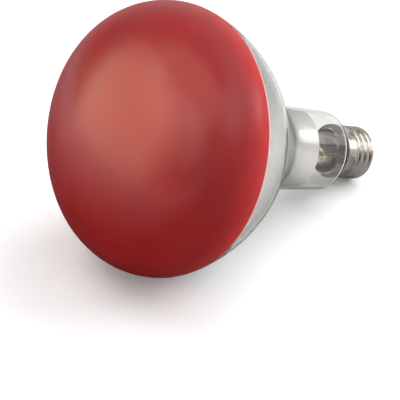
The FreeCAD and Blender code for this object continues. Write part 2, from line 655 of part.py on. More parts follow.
def groove_sketch(body):
    """Section of the groove: a round root that runs into round crests, open beyond the land."""
    sketch = new_sketch(body, "groove_section")
    round_size = "(thread_depth ^ 2 + (thread_pitch / 2) ^ 2) / (4 * thread_depth)"
    curve = value(round_size)
    crest = value("thread_radius")
    start = value("thread_start")
    half = value("thread_pitch") / 2
    lean = math.degrees(math.asin(value("thread_land") / 2 / curve))
    flank = math.degrees(math.asin(half / (2 * curve)))
    drop = curve - curve * math.cos(math.radians(lean))
    side = half - value("thread_land") / 2
    wing = side + (drop + value("fit_gap")) / math.tan(math.radians(lean))
    brim = crest + value("fit_gap")
    outside = crest + value("thread_depth")
    root_centre = (crest - value("thread_depth") + curve, start)
    root = sketch.addGeometry(arc_about(root_centre, curve, 180 - flank, 180 + flank), False)
    upper = sketch.addGeometry(arc_about((crest - curve, start + half), curve, -flank, -lean), False)
    lower = sketch.addGeometry(arc_about((crest - curve, start - half), curve, lean, flank), False)
    corners = [(crest - drop, start + side), (brim, start + wing), (outside, start + wing),
               (outside, start - wing), (brim, start - wing), (crest - drop, start - side)]
    lines = []
    for a, b in zip(corners, corners[1:]):
        lines.append(sketch.addGeometry(Part.LineSegment(Vector(*a, 0), Vector(*b, 0)), False))
    links = [(root, 1, upper, 1), (root, 2, lower, 2), (upper, 2, lines[0], 1), (lines[-1], 2, lower, 1)]
    for link in links:
        sketch.addConstraint(Sketcher.Constraint("Tangent", *link))
    for line, after in zip(lines, lines[1:]):
        sketch.addConstraint(Sketcher.Constraint("Coincident", line, 2, after, 1))
    for line, kind in zip(lines[1:-1], ("Horizontal", "Vertical", "Horizontal")):
        sketch.addConstraint(Sketcher.Constraint(kind, line))
    sketch.addConstraint(Sketcher.Constraint("Equal", root, upper))
    sketch.addConstraint(Sketcher.Constraint("Equal", root, lower))
    constrain(sketch, "round", round_size, "Radius", root)
    constrain(sketch, "start", "thread_start", "DistanceY", -1, 1, root, 3)
    constrain(sketch, "depth", f"thread_radius - thread_depth + {round_size}", "DistanceX", -1, 1, root, 3)
    for name, arc, sign, end in (("upper", upper, "+", 2), ("lower", lower, "-", 1)):
        middle = f"thread_start {sign} thread_pitch / 2"
        edge = f"thread_start {sign} (thread_pitch - thread_land) / 2"
        constrain(sketch, f"{name}_crest", middle, "DistanceY", -1, 1, arc, 3)
        constrain(sketch, f"{name}_land", edge, "DistanceY", -1, 1, arc, end)
    constrain(sketch, "upper_brim", "thread_radius + fit_gap", "DistanceX", -1, 1, lines[0], 2)
    constrain(sketch, "lower_brim", "thread_radius + fit_gap", "DistanceX", -1, 1, lines[-1], 1)
    constrain(sketch, "outside", "thread_radius + thread_depth", "DistanceX", -1, 1, lines[1], 2)
    return sketch


def make_cement():
    """The ring of basing cement between the bulb's tail and the shell, with a channel for the side lead."""
    step = "thread_start - thread_pitch / 2 - shell_wall"
    wide = "thread_radius - shell_wall - 2 * fit_gap"
    body = turned("basing_cement", [
        ("tail_radius + fit_gap", "cap_mouth + cement_recess"),
        (wide, "cap_mouth + rim_height"),
        (wide, f"{step} - thread_depth / 2"),
        ("thread_radius - thread_depth - shell_wall - fit_gap", f"{step} - fit_gap"),
        ("thread_radius - thread_depth - shell_wall - fit_gap", "cap_mouth + cement_depth"),
        ("tail_radius + fit_gap", "cap_mouth + cement_depth"),
    ])
    sketch = new_sketch(body, "lead_channel", "XY_Plane")
    inside = "tail_radius - shell_wall"
    outside = "thread_radius - thread_depth - shell_wall"
    half = "lead_radius + fit_gap"
    near, far, reach = value(inside), value(outside), value(half)
    ends = [(near, -reach), (far, -reach), (far, reach), (near, reach)]
    corners = [Vector(x, y, 0) for x, y in ends]
    for a, b in zip(corners, corners[1:] + corners[:1]):
        sketch.addGeometry(Part.LineSegment(a, b), False)
    for geo in range(len(corners)):
        sketch.addConstraint(Sketcher.Constraint("Coincident", geo, 2, (geo + 1) % len(corners), 1))
    for geo, kind in enumerate(("Horizontal", "Vertical", "Horizontal", "Vertical")):
        sketch.addConstraint(Sketcher.Constraint(kind, geo))
    constrain(sketch, "near", inside, "DistanceX", -1, 1, 0, 1)
    constrain(sketch, "far", outside, "DistanceX", -1, 1, 0, 2)
    constrain(sketch, "low", f"-({half})", "DistanceY", -1, 1, 0, 1)
    constrain(sketch, "high", half, "DistanceY", -1, 1, 1, 2)
    bind(sketch, "AttachmentOffset.Base.z", "cap_mouth")
    channel = body.newObject("PartDesign::Pocket", "lead_pocket")
    channel.Profile = sketch
    bind(channel, "Length", "2 * cement_depth")
    channel.Reversed = True
    body.Tip = channel
    turns["basing_cement"] = Placement(Vector(), Rotation(Vector(0, 0, 1), value("joint_angle")))
    return body


def make_insulator():
    """The black glass that closes the shell and carries the contact."""
    end = "shell_end + shell_end_curve"
    inner = "thread_radius - thread_depth - shell_wall - fit_gap"
    lip = "thread_radius - shell_end_curve - shell_lip - fit_gap"
    return turned("cap_insulator", [
        ("insulator_hole", f"{end} - shell_wall - insulator_depth"),
        (inner, f"{end} - shell_wall - insulator_depth"),
        (inner, f"{end} - shell_wall - fit_gap"),
        (lip, f"{end} - shell_wall - fit_gap"),
        (lip, end, "-insulator_curve"),
        ("insulator_nose", f"{end} + insulator_height"),
        ("insulator_hole", f"{end} + insulator_height"),
    ])


def make_contact():
    """The centre contact: a thin dished disc with a hole for the lead."""
    seat = "shell_end + shell_end_curve + insulator_height"
    return turned("centre_contact", [
        ("contact_hole", seat),
        ("contact_radius", seat),
        ("contact_radius", f"{seat} + contact_thickness / 2"),
        ("contact_radius - contact_thickness / 2", f"{seat} + contact_thickness"),
        ("contact_hole", f"{seat} + contact_thickness"),
    ])


def make_solder():
    """The drop of solder on the contact, and the one that joins the side lead to the shell's rim."""
    seat = "shell_end + shell_end_curve + insulator_height + contact_thickness"
    turned("centre_solder", [
        ("0", seat),
        ("solder_radius", seat, "(solder_radius ^ 2 + solder_height ^ 2) / (2 * solder_height)"),
        ("0", f"{seat} + solder_height"),
    ])
    turned("side_solder", [
        ("0", "0"),
        ("0", "-joint_height", "(joint_radius ^ 2 + joint_height ^ 2) / (2 * joint_height)"),
        ("joint_radius", "0"),
    ])
    centre = polar(value("thread_radius - joint_offset"), value("joint_angle"), value("cap_mouth"))
    turns["side_solder"] = Placement(Vector(*centre), Rotation())


def resting_tilt():
    """Tilt of the lamp's axis when reflector and shell end both touch the floor, in degrees."""
    reflector = reflector_centre()
    curve = value("shell_end_curve")
    shell = (value("thread_radius") - curve, value("shell_end"))
    radial = shell[0] - reflector[0]
    axial = shell[1] - reflector[1]
    lean = math.acos((value("reflector_radius") - curve) / math.hypot(radial, axial))
    return math.degrees(math.atan2(axial, radial) - lean)


def lay_down():
    """Lay the lamp on its side, with the box's centre over the origin and the floor at zero."""
    tilt = resting_tilt()
    rotation = Rotation(Vector(1, 0, 0), -(90 + tilt))
    for node in nodes:
        node.Placement = Placement(Vector(), rotation).multiply(turns.get(node.Label, Placement()))
    doc.recompute()
    box = FreeCAD.BoundBox()
    for node in nodes:
        box.add(node.Shape.optimalBoundingBox(False, False))
    shift = Vector(-box.Center.x, -box.Center.y, -box.ZMin)
    for node in nodes:
        node.Placement = Placement(shift, Rotation()).multiply(node.Placement)
    doc.recompute()
    print("tilt", round(tilt, 3), "shift", shift, "box", box)


make_glass_bulb()
make_stem()
make_exhaust_tube()
make_support_rod()
make_filament()
make_posts()
make_hooks()
make_leads()
make_cap_shell()
make_cement()
make_insulator()
make_contact()
make_solder()
doc.recompute()
lay_down()

for obj in doc.Objects:
    if "Invalid" in obj.State or "Error" in obj.State:
        raise RuntimeError(f"{obj.Label} failed: {obj.State}")
for node in nodes:
    if node.Shape.isNull() or not node.Shape.isValid():
        raise RuntimeError(f"{node.Label} has no valid shape")
    if len(node.Shape.Solids) != 1:
        raise RuntimeError(f"{node.Label} has {len(node.Shape.Solids)} solids")

os.makedirs("parts", exist_ok=True)
for node in nodes:
    node.Shape.exportStep(f"parts/{node.Label}.step")
    print(node.Label, round(node.Shape.Volume, 2), "mm3")
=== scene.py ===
"""Looks of an infrared heat lamp that lies on its side on a white floor.

The glass has a satin red lacquer on its face, a silver film behind it and a clear neck, and it sits in a
nickel-plated screw cap. The lamp's sizes are in millimetres, and the studio's in metres. A station is a
distance from the crown of the face along the lamp's own axis. Every piece is made on that axis, as local Z,
before it takes its place in the frame.
"""
import json
import logging
import math
from dataclasses import dataclass
from enum import Enum
from typing import Any, Sequence

import bmesh
import bpy
from bpy.types import Material, Node, NodeSocket, NodeTree, Object, World
from mathutils import Matrix, Vector

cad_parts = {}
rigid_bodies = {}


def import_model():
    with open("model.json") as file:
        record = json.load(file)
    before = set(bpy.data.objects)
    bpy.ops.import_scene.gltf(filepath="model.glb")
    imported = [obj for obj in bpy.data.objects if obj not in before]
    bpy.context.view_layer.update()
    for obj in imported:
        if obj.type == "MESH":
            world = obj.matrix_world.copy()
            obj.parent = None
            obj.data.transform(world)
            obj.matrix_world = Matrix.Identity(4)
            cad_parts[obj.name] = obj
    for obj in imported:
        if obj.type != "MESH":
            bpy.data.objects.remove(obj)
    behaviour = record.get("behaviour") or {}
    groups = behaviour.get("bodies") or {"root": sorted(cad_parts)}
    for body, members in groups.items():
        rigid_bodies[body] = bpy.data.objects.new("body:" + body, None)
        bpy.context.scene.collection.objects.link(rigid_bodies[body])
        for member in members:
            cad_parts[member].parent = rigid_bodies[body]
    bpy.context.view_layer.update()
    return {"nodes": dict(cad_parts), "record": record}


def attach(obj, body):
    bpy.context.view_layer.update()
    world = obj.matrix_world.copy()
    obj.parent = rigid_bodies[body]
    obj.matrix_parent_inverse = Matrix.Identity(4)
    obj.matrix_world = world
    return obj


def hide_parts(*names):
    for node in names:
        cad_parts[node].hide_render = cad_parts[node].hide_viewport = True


LOG = logging.getLogger("heat_lamp")
MM = 0.001
BODY = "root"
CAP_MOUNT_STATION = 162.0
BEFORE_CROWN = -1.0
LIGHT_TARGET_STATION = 60.0
MERGE_DISTANCE = 1e-6
# the nodes that new pieces stand for
MADE_ANEW = ("glass_bulb", "cap_shell", "filament")
WHITE = (1.0, 1.0, 1.0, 1.0)
WARM = "FFE2C0"
PALE = "FFEEDC"
# most of a noise lies between these values, and a tone changes over the middle of them
NOISE_SPAN = (0.3, 0.7)
TONE_SPAN = (0.35, 0.65)
# numbers of the sockets of a Mix node, where several share a name
VALUE_A, VALUE_B, VALUE_RESULT = 2, 3, 0
COLOUR_A, COLOUR_B, COLOUR_RESULT = 6, 7, 2
Point = tuple[float, float]


class Slot(Enum):
    """The record's material slots."""

    BULB_GLASS = "bulb_glass"
    CLEAR_GLASS = "clear_glass"
    TUNGSTEN = "tungsten"
    NICKEL_WIRE = "nickel_wire"
    HOOK_WIRE = "hook_wire"
    COPPER_WIRE = "copper_wire"
    NICKEL_SHELL = "nickel_shell"
    CEMENT = "cement"
    BLACK_GLASS = "black_glass"
    CONTACT_BRASS = "contact_brass"
    SOLDER = "solder"


class Rays(Enum):
    """The kinds of ray that see a soft box."""

    FILL = ("diffuse", "transmission")
    SHEEN = ("glossy",)
    BEHIND_GLASS = ("transmission",)


def per_metre(size: float) -> float:
    """Scale of a pattern whose features are a given size in millimetres."""
    return 1.0 / (size * MM)


def linear(code: str) -> tuple[float, float, float, float]:
    """Turn an sRGB hex colour into linear light.

    Args:
        code: six hex digits.

    Returns:
        Linear red, green, blue and an alpha of one.
    """
    channels = [int(code[i:i + 2], 16) / 255 for i in (0, 2, 4)]
    light = [c / 12.92 if c <= 0.04045 else ((c + 0.055) / 1.055) ** 2.4 for c in channels]
    return (light[0], light[1], light[2], 1.0)


def way_to(azimuth: float, elevation: float) -> Vector:
    """Work out a direction in the frame.

    Args:
        azimuth: degrees round the lamp, from the side of its face towards +X.
        elevation: degrees above the floor.

    Returns:
        The direction, of length one.
    """
    turn = math.radians(azimuth)
    rise = math.radians(elevation)
    return Vector((math.sin(turn) * math.cos(rise), -math.cos(turn) * math.cos(rise), math.sin(rise)))


def blank_tree(owner: Material | World) -> NodeTree:
    """Switch on the nodes of a material or a world, and clear them.

    Args:
        owner: the material or the world.

    Returns:
        Its empty tree.
    """
    owner.use_nodes = True
    owner.node_tree.nodes.clear()
    return owner.node_tree


def add_node(tree: NodeTree, kind: str, settings: dict[str, Any] | None = None,
             inputs: dict[Any, Any] | None = None, stops: Sequence[tuple[float, Any]] = ()) -> Node:
    """Add a node with its settings, values and links.

    Args:
        tree: the node tree that takes the node.
        kind: the node's type.
        settings: attributes of the node.
        inputs: for each socket, by name or number, a value or the output socket that feeds it.
        stops: the position and linear colour of each stop, where the node is a colour ramp.

    Returns:
        The new node.
    """
    node = tree.nodes.new(kind)
    for name, setting in (settings or {}).items():
        setattr(node, name, setting)
    for socket, source in (inputs or {}).items():
        if isinstance(source, NodeSocket):
            tree.links.new(source, node.inputs[socket])
        else:
            node.inputs[socket].default_value = source
    elements = node.color_ramp.elements if stops else ()
    while len(elements) < len(stops):
        elements.new(stops[-1][0])
    for element, (position, colour) in zip(elements, stops):
        element.position = position
        element.color = colour
    return node


@dataclass(frozen=True)
class LampAxis:
    """Where the lamp's own axis lies in the frame, from the crown of its face towards its cap."""

    crown: Vector
    direction: Vector

    @classmethod
    def from_record(cls, record: dict[str, Any]) -> "LampAxis":
        """Read the axis from the mount on the screw cap.

        Args:
            record: the part's record.

        Returns:
            The axis.
        """
        mount = next(m for m in record["mounts"] if m["name"] == "screw_cap")
        direction = Vector(mount["axis"]).normalized()
        return cls(Vector(mount["pos_m"]) - direction * CAP_MOUNT_STATION * MM, direction)

    def place(self, station: float) -> Vector:
        """Place in the frame of a station on the axis."""
        return self.crown + self.direction * station * MM

    def matrix(self) -> Matrix:
        """Work out how the lamp's own coordinates are placed in the frame.

        Returns:
            The placement.
        """
        side = Vector((1.0, 0.0, 0.0))
        down = self.direction.cross(side)
        turn = Matrix((side, down, self.direction)).transposed().to_4x4()
        return Matrix.Translation(self.crown) @ turn


@dataclass(frozen=True)
class Grain:
    """Soft random variation, with the size of its features in millimetres and its depth of detail."""

    size: float
    detail: float = 2.0

    def inputs(self, where: NodeSocket) -> dict[str, Any]:
        """Inputs of the noise that draws the grain over some coordinates."""
        return {"Vector": where, "Scale": per_metre(self.size), "Detail": self.detail}


@dataclass(frozen=True)
class Finish:
    """A finish of the lamp, drawn in the lamp's own coordinates."""

    axis: LampAxis

    def begin(self, name: str) -> tuple[Material, NodeTree, NodeSocket]:
        """Make an empty material.

        Args:
            name: the material's name.

        Returns:
            The material, its tree and the object coordinates turned to the lamp's own axis.
        """
        material = bpy.data.materials.new(name)
        tree = blank_tree(material)
        inverse = self.axis.matrix().inverted()
        where = add_node(tree, "ShaderNodeMapping", inputs={
            "Vector": add_node(tree, "ShaderNodeTexCoord").outputs["Object"],
            "Location": inverse.translation,
            "Rotation": inverse.to_euler(),
        }).outputs["Vector"]
        return material, tree, where

    def end(self, tree: NodeTree, inputs: dict[str, Any]) -> None:
        """End a material with its shader.

        Args:
            tree: the material's tree.
            inputs: a value or an output socket for each of the shader's sockets that is set.
        """
        shader = add_node(tree, "ShaderNodeBsdfPrincipled", inputs=inputs)
        add_node(tree, "ShaderNodeOutputMaterial", inputs={"Surface": shader.outputs["BSDF"]})

    def wander(self, tree: NodeTree, where: NodeSocket, grain: Grain, levels: Point) -> NodeSocket:
        """Let a value wander between two levels.

        Args:
            tree: the material's tree.
            where: the coordinates.
            grain: what it follows.
            levels: the value at the grain's low and high places.

        Returns:
            The value.
        """
        noise = add_node(tree, "ShaderNodeTexNoise", inputs=grain.inputs(where))
        return add_node(tree, "ShaderNodeMapRange", inputs={
            "Value": noise.outputs["Fac"], "From Min": NOISE_SPAN[0], "From Max": NOISE_SPAN[1],
            "To Min": levels[0], "To Max": levels[1],
        }).outputs["Result"]

    def tones(self, tree: NodeTree, where: NodeSocket, grain: Grain, colours: tuple[str, str],
              span: Point = TONE_SPAN) -> NodeSocket:
        """Let a colour wander between two tones.

        Args:
            tree: the material's tree.
            where: the coordinates.
            grain: what it follows.
            colours: hex colours of the grain's low and high places.
            span: the noise values between which one tone turns into the other.

        Returns:
            The colour.
        """
        noise = add_node(tree, "ShaderNodeTexNoise", inputs=grain.inputs(where))
        stops = [(place, linear(colour)) for place, colour in zip(span, colours)]
        return add_node(tree, "ShaderNodeValToRGB", inputs={"Fac": noise.outputs["Fac"]},
                        stops=stops).outputs["Color"]

    def bands(self, tree: NodeTree, where: NodeSocket, length: float,
              stations: Sequence[tuple[float, Any]]) -> NodeSocket:
        """Draw colours that run into each other along the lamp's axis.

        Args:
            tree: the material's tree.
            where: the coordinates.
            length: the stretch of the axis that the ramp covers.
            stations: station and linear colour of each stop.

        Returns:
            The colour.
        """
        station = add_node(tree, "ShaderNodeSeparateXYZ", inputs={"Vector": where}).outputs["Z"]
        share = add_node(tree, "ShaderNodeMath", {"operation": "MULTIPLY"},
                         {0: station, 1: per_metre(length)}).outputs["Value"]
        return add_node(tree, "ShaderNodeValToRGB", inputs={"Fac": share},
                        stops=[(place / length, colour) for place, colour in stations]).outputs["Color"]

    def relief(self, tree: NodeTree, where: NodeSocket, grain: Grain, depth: float,
               strength: float = 1.0) -> NodeSocket:
        """Press a grain into the surface.

        Args:
            tree: the material's tree.
            where: the coordinates.
            grain: what it follows.
            depth: its depth in millimetres.
            strength: how much of it shows, from none to one.

        Returns:
            The normal.
        """
        noise = add_node(tree, "ShaderNodeTexNoise", inputs=grain.inputs(where))
        return add_node(tree, "ShaderNodeBump", inputs={
            "Height": noise.outputs["Fac"], "Distance": depth * MM, "Strength": strength,
        }).outputs["Normal"]


@dataclass(frozen=True)
class RubyLacquer(Finish):
    """Heat-proof ruby lacquer, sprayed on the glass and baked: satin, so highlights spread into a haze."""

    deep: str = "86090B"
    # painted glow: a brighter red in the band next to the silver
    painted_glow_red: str = "B01214"
    edge: str = "E4BDBA"
    end_station: float = 51.8
    edge_width: float = 0.4
    painted_glow_width: float = 16.0
    ramp_length: float = 60.0
    coat: Grain = Grain(22.0)
    coat_levels: Point = (0.93, 1.07)
    mist: Grain = Grain(13.0, 3.0)
    roughness: Point = (0.29, 0.36)
    peel: Grain = Grain(1.1)
    peel_depth: float = 0.005
    peel_strength: float = 0.3
    ior: float = 1.5

    def build(self) -> Material:
        """Make the material.

        Returns:
            The material.
        """
        material, tree, where = self.begin("ruby_lacquer_satin")
        # the red is painted brighter towards the silver, a painted glow, and the lacquer thins out at its
        # edge
        red = self.bands(tree, where, self.ramp_length, [
            (self.end_station - self.painted_glow_width, linear(self.deep)),
            (self.end_station - 2 * self.edge_width, linear(self.painted_glow_red)),
            (self.end_station - self.edge_width, linear(self.edge)),
        ])
        # the spray lay a little thicker in some places, and its skin has a fine orange peel
        coated = add_node(tree, "ShaderNodeHueSaturation", inputs={
            "Color": red, "Value": self.wander(tree, where, self.coat, self.coat_levels),
        })
        self.end(tree, {
            "Base Color": coated.outputs["Color"],
            "Roughness": self.wander(tree, where, self.mist, self.roughness),
            "Normal": self.relief(tree, where, self.peel, self.peel_depth, self.peel_strength),
            "IOR": self.ior,
        })
        return material


@dataclass(frozen=True)
class BlownGlass(Finish):
    """Blown soda-lime glass: clear and fire-polished, with the faint waves of the mould."""

    name: str = "soda_lime_glass_blown"
    tint: str = "E8E7E5"
    ior: float = 1.51
    wave: Grain = Grain(14.0, 1.0)
    depth: float = 0.02
    strength: float = 0.2

    def build(self) -> Material:
        """Make the material.

        Returns:
            The material.
        """
        material, tree, where = self.begin(self.name)
        self.end(tree, {
            "Base Color": linear(self.tint),
            "Roughness": 0.0,
            "IOR": self.ior,
            "Transmission Weight": 1.0,
            "Normal": self.relief(tree, where, self.wave, self.depth, self.strength),
        })
        return material


@dataclass(frozen=True)
class SilverFilm(Finish):
    """Aluminium evaporated inside the glass: a hazy mirror, with shade painted into its throat, and duller
    at its limb.
    """

    bright: str = "F6F6F3"
    hazy: str = "E8E8E4"
    limb: str = "BABAB8"
    # painted shade: grey levels of the film along the throat and the neck, by station
    painted_throat_shade: tuple[Point, ...] = ((90.0, 1.0), (103.0, 0.5), (107.2, 0.26), (109.4, 0.8), (118.0, 1.0))
    ramp_length: float = 200.0
    haze: Grain = Grain(18.0, 3.0)
    roughness: Point = (0.36, 0.3)

    def build(self) -> Material:
        """Make the material.

        Returns:
            The material.
        """
        material, tree, where = self.begin("aluminium_mirror_evaporated")
        film = self.tones(tree, where, self.haze, (self.hazy, self.bright))
        # painted shade: the film is painted darker in the hollow of the throat, and lighter again along the
        # neck
        throat = self.bands(tree, where, self.ramp_length,
                            [(station, (grey, grey, grey, 1.0)) for station, grey in self.painted_throat_shade])
        colour = add_node(tree, "ShaderNodeMix", {"data_type": "RGBA", "blend_type": "MULTIPLY"}, {
            "Factor": 1.0, COLOUR_A: film, COLOUR_B: throat,
        })
        self.end(tree, {
            "Base Color": colour.outputs[COLOUR_RESULT],
            "Specular Tint": linear(self.limb),
            "Roughness": self.wander(tree, where, self.haze, self.roughness),
            "Metallic": 1.0,
        })
        return material


@dataclass(frozen=True)
class NickelPlate(Finish):
    """Nickel plated on rolled sheet: warm grey, with drawing lines round it and a little tarnish.

    The lines of the real sheet are too fine to show, so they are drawn coarser.
    """

    bright: str = "D4D1C8"
    tarnished: str = "968D7E"
    tarnish: Grain = Grain(5.0, 3.0)
    tarnish_span: Point = (0.3, 0.52)
    lines: Grain = Grain(1.2, 3.0)
    line_stretch: tuple[float, float, float] = (0.15, 0.15, 3.0)
    line_depth: float = 0.004
    line_strength: float = 0.5
    roughness: Point = (0.14, 0.26)

    def build(self) -> Material:
        """Make the material.

        Returns:
            The material.
        """
        material, tree, where = self.begin("nickel_plate_rolled")
        drawn = add_node(tree, "ShaderNodeMapping", inputs={
            "Vector": where, "Scale": self.line_stretch,
        }).outputs["Vector"]
        self.end(tree, {
            "Base Color": self.tones(tree, where, self.tarnish, (self.tarnished, self.bright),
                                     self.tarnish_span),
            "Roughness": self.wander(tree, drawn, self.lines, self.roughness),
            "Normal": self.relief(tree, drawn, self.lines, self.line_depth, self.line_strength),
            "Metallic": 1.0,
        })
        return material


@dataclass(frozen=True)
class Grained(Finish):
    """A plain finish with grain: colour between two tones, a range of roughness and a fine relief."""

    name: str
    colours: tuple[str, str]
    roughness: Point
    grain: Grain
    depth: float
    metallic: float = 1.0

    def build(self) -> Material:
        """Make the material.

        Returns:
            The material.
        """
        material, tree, where = self.begin(self.name)
        self.end(tree, {
            "Base Color": self.tones(tree, where, self.grain, self.colours),
            "Roughness": self.wander(tree, where, self.grain, self.roughness),
            "Normal": self.relief(tree, where, self.grain, self.depth),
            "Metallic": self.metallic,
        })
        return material


def make_finishes(axis: LampAxis) -> dict[Slot, Material]:
    """Make the finish for each slot of the record.

    Args:
        axis: where the lamp lies.

    Returns:
        The material for each slot.
    """
    finishes: dict[Slot, BlownGlass | NickelPlate | Grained] = {
        # blown and fire-polished soda-lime glass is clear, and bends what is behind it a little
        Slot.BULB_GLASS: BlownGlass(axis),
        # drawn lead glass is brighter at its edges and a little browner where it is thick
        Slot.CLEAR_GLASS: BlownGlass(axis, "lead_glass_drawn", tint="BDB294", ior=1.56,
                                     wave=Grain(5.0, 1.0), depth=0.01),
        # coiled tungsten is dark grey and dull, as its first glow left it
        Slot.TUNGSTEN: Grained(axis, "tungsten_wire", ("3B3B40", "5A5A60"), roughness=(0.4, 0.55),
                               grain=Grain(0.3, 4.0), depth=0.01),
        # drawn nickel wire has a soft, warm shine
        Slot.NICKEL_WIRE: Grained(axis, "nickel_wire_drawn", ("8E8A80", "B4AFA2"), roughness=(0.3, 0.42),
                                  grain=Grain(0.4, 4.0), depth=0.004),
        # drawn molybdenum is a darker, cooler grey than nickel
        Slot.HOOK_WIRE: Grained(axis, "molybdenum_wire", ("6A6A6C", "8C8C8E"), roughness=(0.35, 0.5),
                                grain=Grain(0.3, 4.0), depth=0.004),
        # copper that was heated in the flame of the seal is brown, with some of its red left
        Slot.COPPER_WIRE: Grained(axis, "copper_wire_drawn", ("5E4433", "8A6146"), roughness=(0.35, 0.5),
                                  grain=Grain(0.5, 4.0), depth=0.004),
        # baked cement is matt and sandy
        Slot.CEMENT: Grained(axis, "basing_cement_baked", ("6E5C34", "8C7646"), roughness=(0.8, 0.95),
                             grain=Grain(0.8, 4.0), depth=0.12, metallic=0.0),
        # pressed black glass is nearly black, with a gloss that waves a little
        Slot.BLACK_GLASS: Grained(axis, "black_glass_pressed", ("08080A", "141416"), roughness=(0.1, 0.2),
                                  grain=Grain(2.0, 4.0), depth=0.02, metallic=0.0),
        # stamped brass is a muted yellow with fine scratches
        Slot.CONTACT_BRASS: Grained(axis, "brass_stamped", ("9A7A42", "C4A263"), roughness=(0.22, 0.38),
                                    grain=Grain(0.7, 4.0), depth=0.006),
        # tin solder froze in a soft, uneven shine
        Slot.SOLDER: Grained(axis, "tin_solder", ("8A8B88", "B6B7B3"), roughness=(0.25, 0.45),
                             grain=Grain(0.9, 4.0), depth=0.03),
        # plated sheet mirrors the studio in blurred bands
        Slot.NICKEL_SHELL: NickelPlate(axis),
    }
    return {slot: finish.build() for slot, finish in finishes.items()}


@dataclass
class Workshop:
    """Builds pieces on the lamp's axis and puts them in their place."""

    axis: LampAxis
    steps: int = 168
    turned_crease: float = 35.0
    copy_crease: float = 30.0

    def trace(self, name: str, outline: Sequence[Vector], closed: bool = False) -> Object:
        """Draw a line by extruding one point along it.

        Args:
            name: the piece's name.
            outline: corners in the lamp's own coordinates, in millimetres.
            closed: whether the line returns to its start.

        Returns:
            The object, left in edit mode with its line selected.
        """
        bpy.ops.object.select_all(action="DESELECT")
        bpy.ops.mesh.primitive_plane_add(size=MM, location=(0.0, 0.0, 0.0))
        piece = bpy.context.active_object
        piece.name = name
        piece.data.name = name
        # a small plane whose corners are merged leaves the one point
        bpy.ops.object.mode_set(mode="EDIT")
        bpy.ops.mesh.merge(type="CENTER")
        bpy.ops.transform.translate(value=outline[0] * MM)
        for before, after in zip(outline, outline[1:]):
            bpy.ops.mesh.extrude_vertices_move(TRANSFORM_OT_translate={"value": (after - before) * MM})
        if closed:
            mesh = bmesh.from_edit_mesh(piece.data)
            mesh.verts.ensure_lookup_table()
            mesh.verts[0].select = True
            mesh.verts[len(outline) - 1].select = True
            bmesh.update_edit_mesh(piece.data)
            bpy.ops.mesh.edge_face_add()
        bpy.ops.mesh.select_all(action="SELECT")
        return piece

    def turn(self, name: str, outline: Sequence[Point], closed: bool = False) -> Object:
        """Turn an outline round the lamp's axis into a closed piece.

        Args:
            name: the piece's name.
            outline: radius and station of each corner.
            closed: whether the outline returns to its start instead of beginning and ending on the axis.

        Returns:
            The piece, still on the lamp's own axis.
        """
        piece = self.trace(name, [Vector((radius, 0.0, station)) for radius, station in outline], closed)
        bpy.ops.mesh.spin(steps=self.steps, angle=math.tau, center=(0.0, 0.0, 0.0), axis=(0.0, 0.0, 1.0))
        bpy.ops.mesh.select_all(action="SELECT")
        bpy.ops.mesh.remove_doubles(threshold=MERGE_DISTANCE)
        bpy.ops.mesh.normals_make_consistent(inside=False)
        bpy.ops.object.mode_set(mode="OBJECT")
        return piece

    def draw_wire(self, name: str, route: Sequence[Vector], radius: float, sides: int) -> Object:
        """Bend a round wire along a route and close its ends.

        Args:
            name: the piece's name.
            route: points in the lamp's own coordinates, in millimetres.
            radius: the wire's radius in millimetres.
            sides: how many flats stand for the wire's round, an even number from four.

        Returns:
            The wire as a mesh.
        """
        piece = self.trace(name, route)
        bpy.ops.object.mode_set(mode="OBJECT")
        bpy.ops.object.convert(target="CURVE")
        piece = bpy.context.active_object
        piece.data.bevel_depth = radius * MM
        # a curve's round has four flats, and two more for each step of its resolution
        piece.data.bevel_resolution = (sides - 4) // 2
        piece.data.use_fill_caps = True
        bpy.ops.object.convert(target="MESH")
        return bpy.context.active_object

    def pick(self, piece: Object) -> None:
        """Select one piece alone.

        Args:
            piece: the piece.
        """
        bpy.ops.object.select_all(action="DESELECT")
        piece.select_set(True)
        bpy.context.view_layer.objects.active = piece

    def smooth(self, piece: Object, crease: float) -> None:
        """Shade a piece smooth, with edges sharper than a crease in degrees kept."""
        self.pick(piece)
        bpy.ops.object.shade_smooth_by_angle(angle=math.radians(crease))

    def smooth_copy(self, node: Object, material: Material) -> None:
        """Stand a merged and smoothly shaded copy in for a node of the frame.

        Args:
            node: the node's object, which stays as it is.
            material: the copy's finish.
        """
        name = node.name
        self.pick(node)
        bpy.ops.object.duplicate()
        piece = bpy.context.active_object
        piece.name = f"{name}_smooth"
        piece.data.name = piece.name
        bpy.ops.object.parent_clear(type="CLEAR_KEEP_TRANSFORM")
        bpy.ops.object.transform_apply(location=True, rotation=True, scale=True)
        bpy.ops.object.mode_set(mode="EDIT")
        bpy.ops.mesh.select_all(action="SELECT")
        bpy.ops.mesh.remove_doubles(threshold=MERGE_DISTANCE)
        bpy.ops.mesh.normals_make_consistent(inside=False)
        bpy.ops.object.mode_set(mode="OBJECT")
        self.smooth(piece, self.copy_crease)
        self.deliver(piece, material, [name])

    def place(self, piece: Object) -> None:
        """Move a piece from the lamp's own axis to its place in the frame.

        Args:
            piece: the piece.
        """
        self.pick(piece)
        piece.matrix_world = self.axis.matrix()
        bpy.ops.object.transform_apply(location=True, rotation=True, scale=True)

    def deliver(self, piece: Object, material: Material, replaced: Sequence[str] = ()) -> None:
        """Hand in a finished piece.

        Args:
            piece: the piece, in its place.
            material: its finish.
            replaced: the nodes that it stands for.
        """
        piece.data.materials.clear()
        piece.data.materials.append(material)
        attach(piece, BODY)
        for node in replaced:
            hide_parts(node)
        LOG.info("%s: %d faces", piece.name, len(piece.data.polygons))


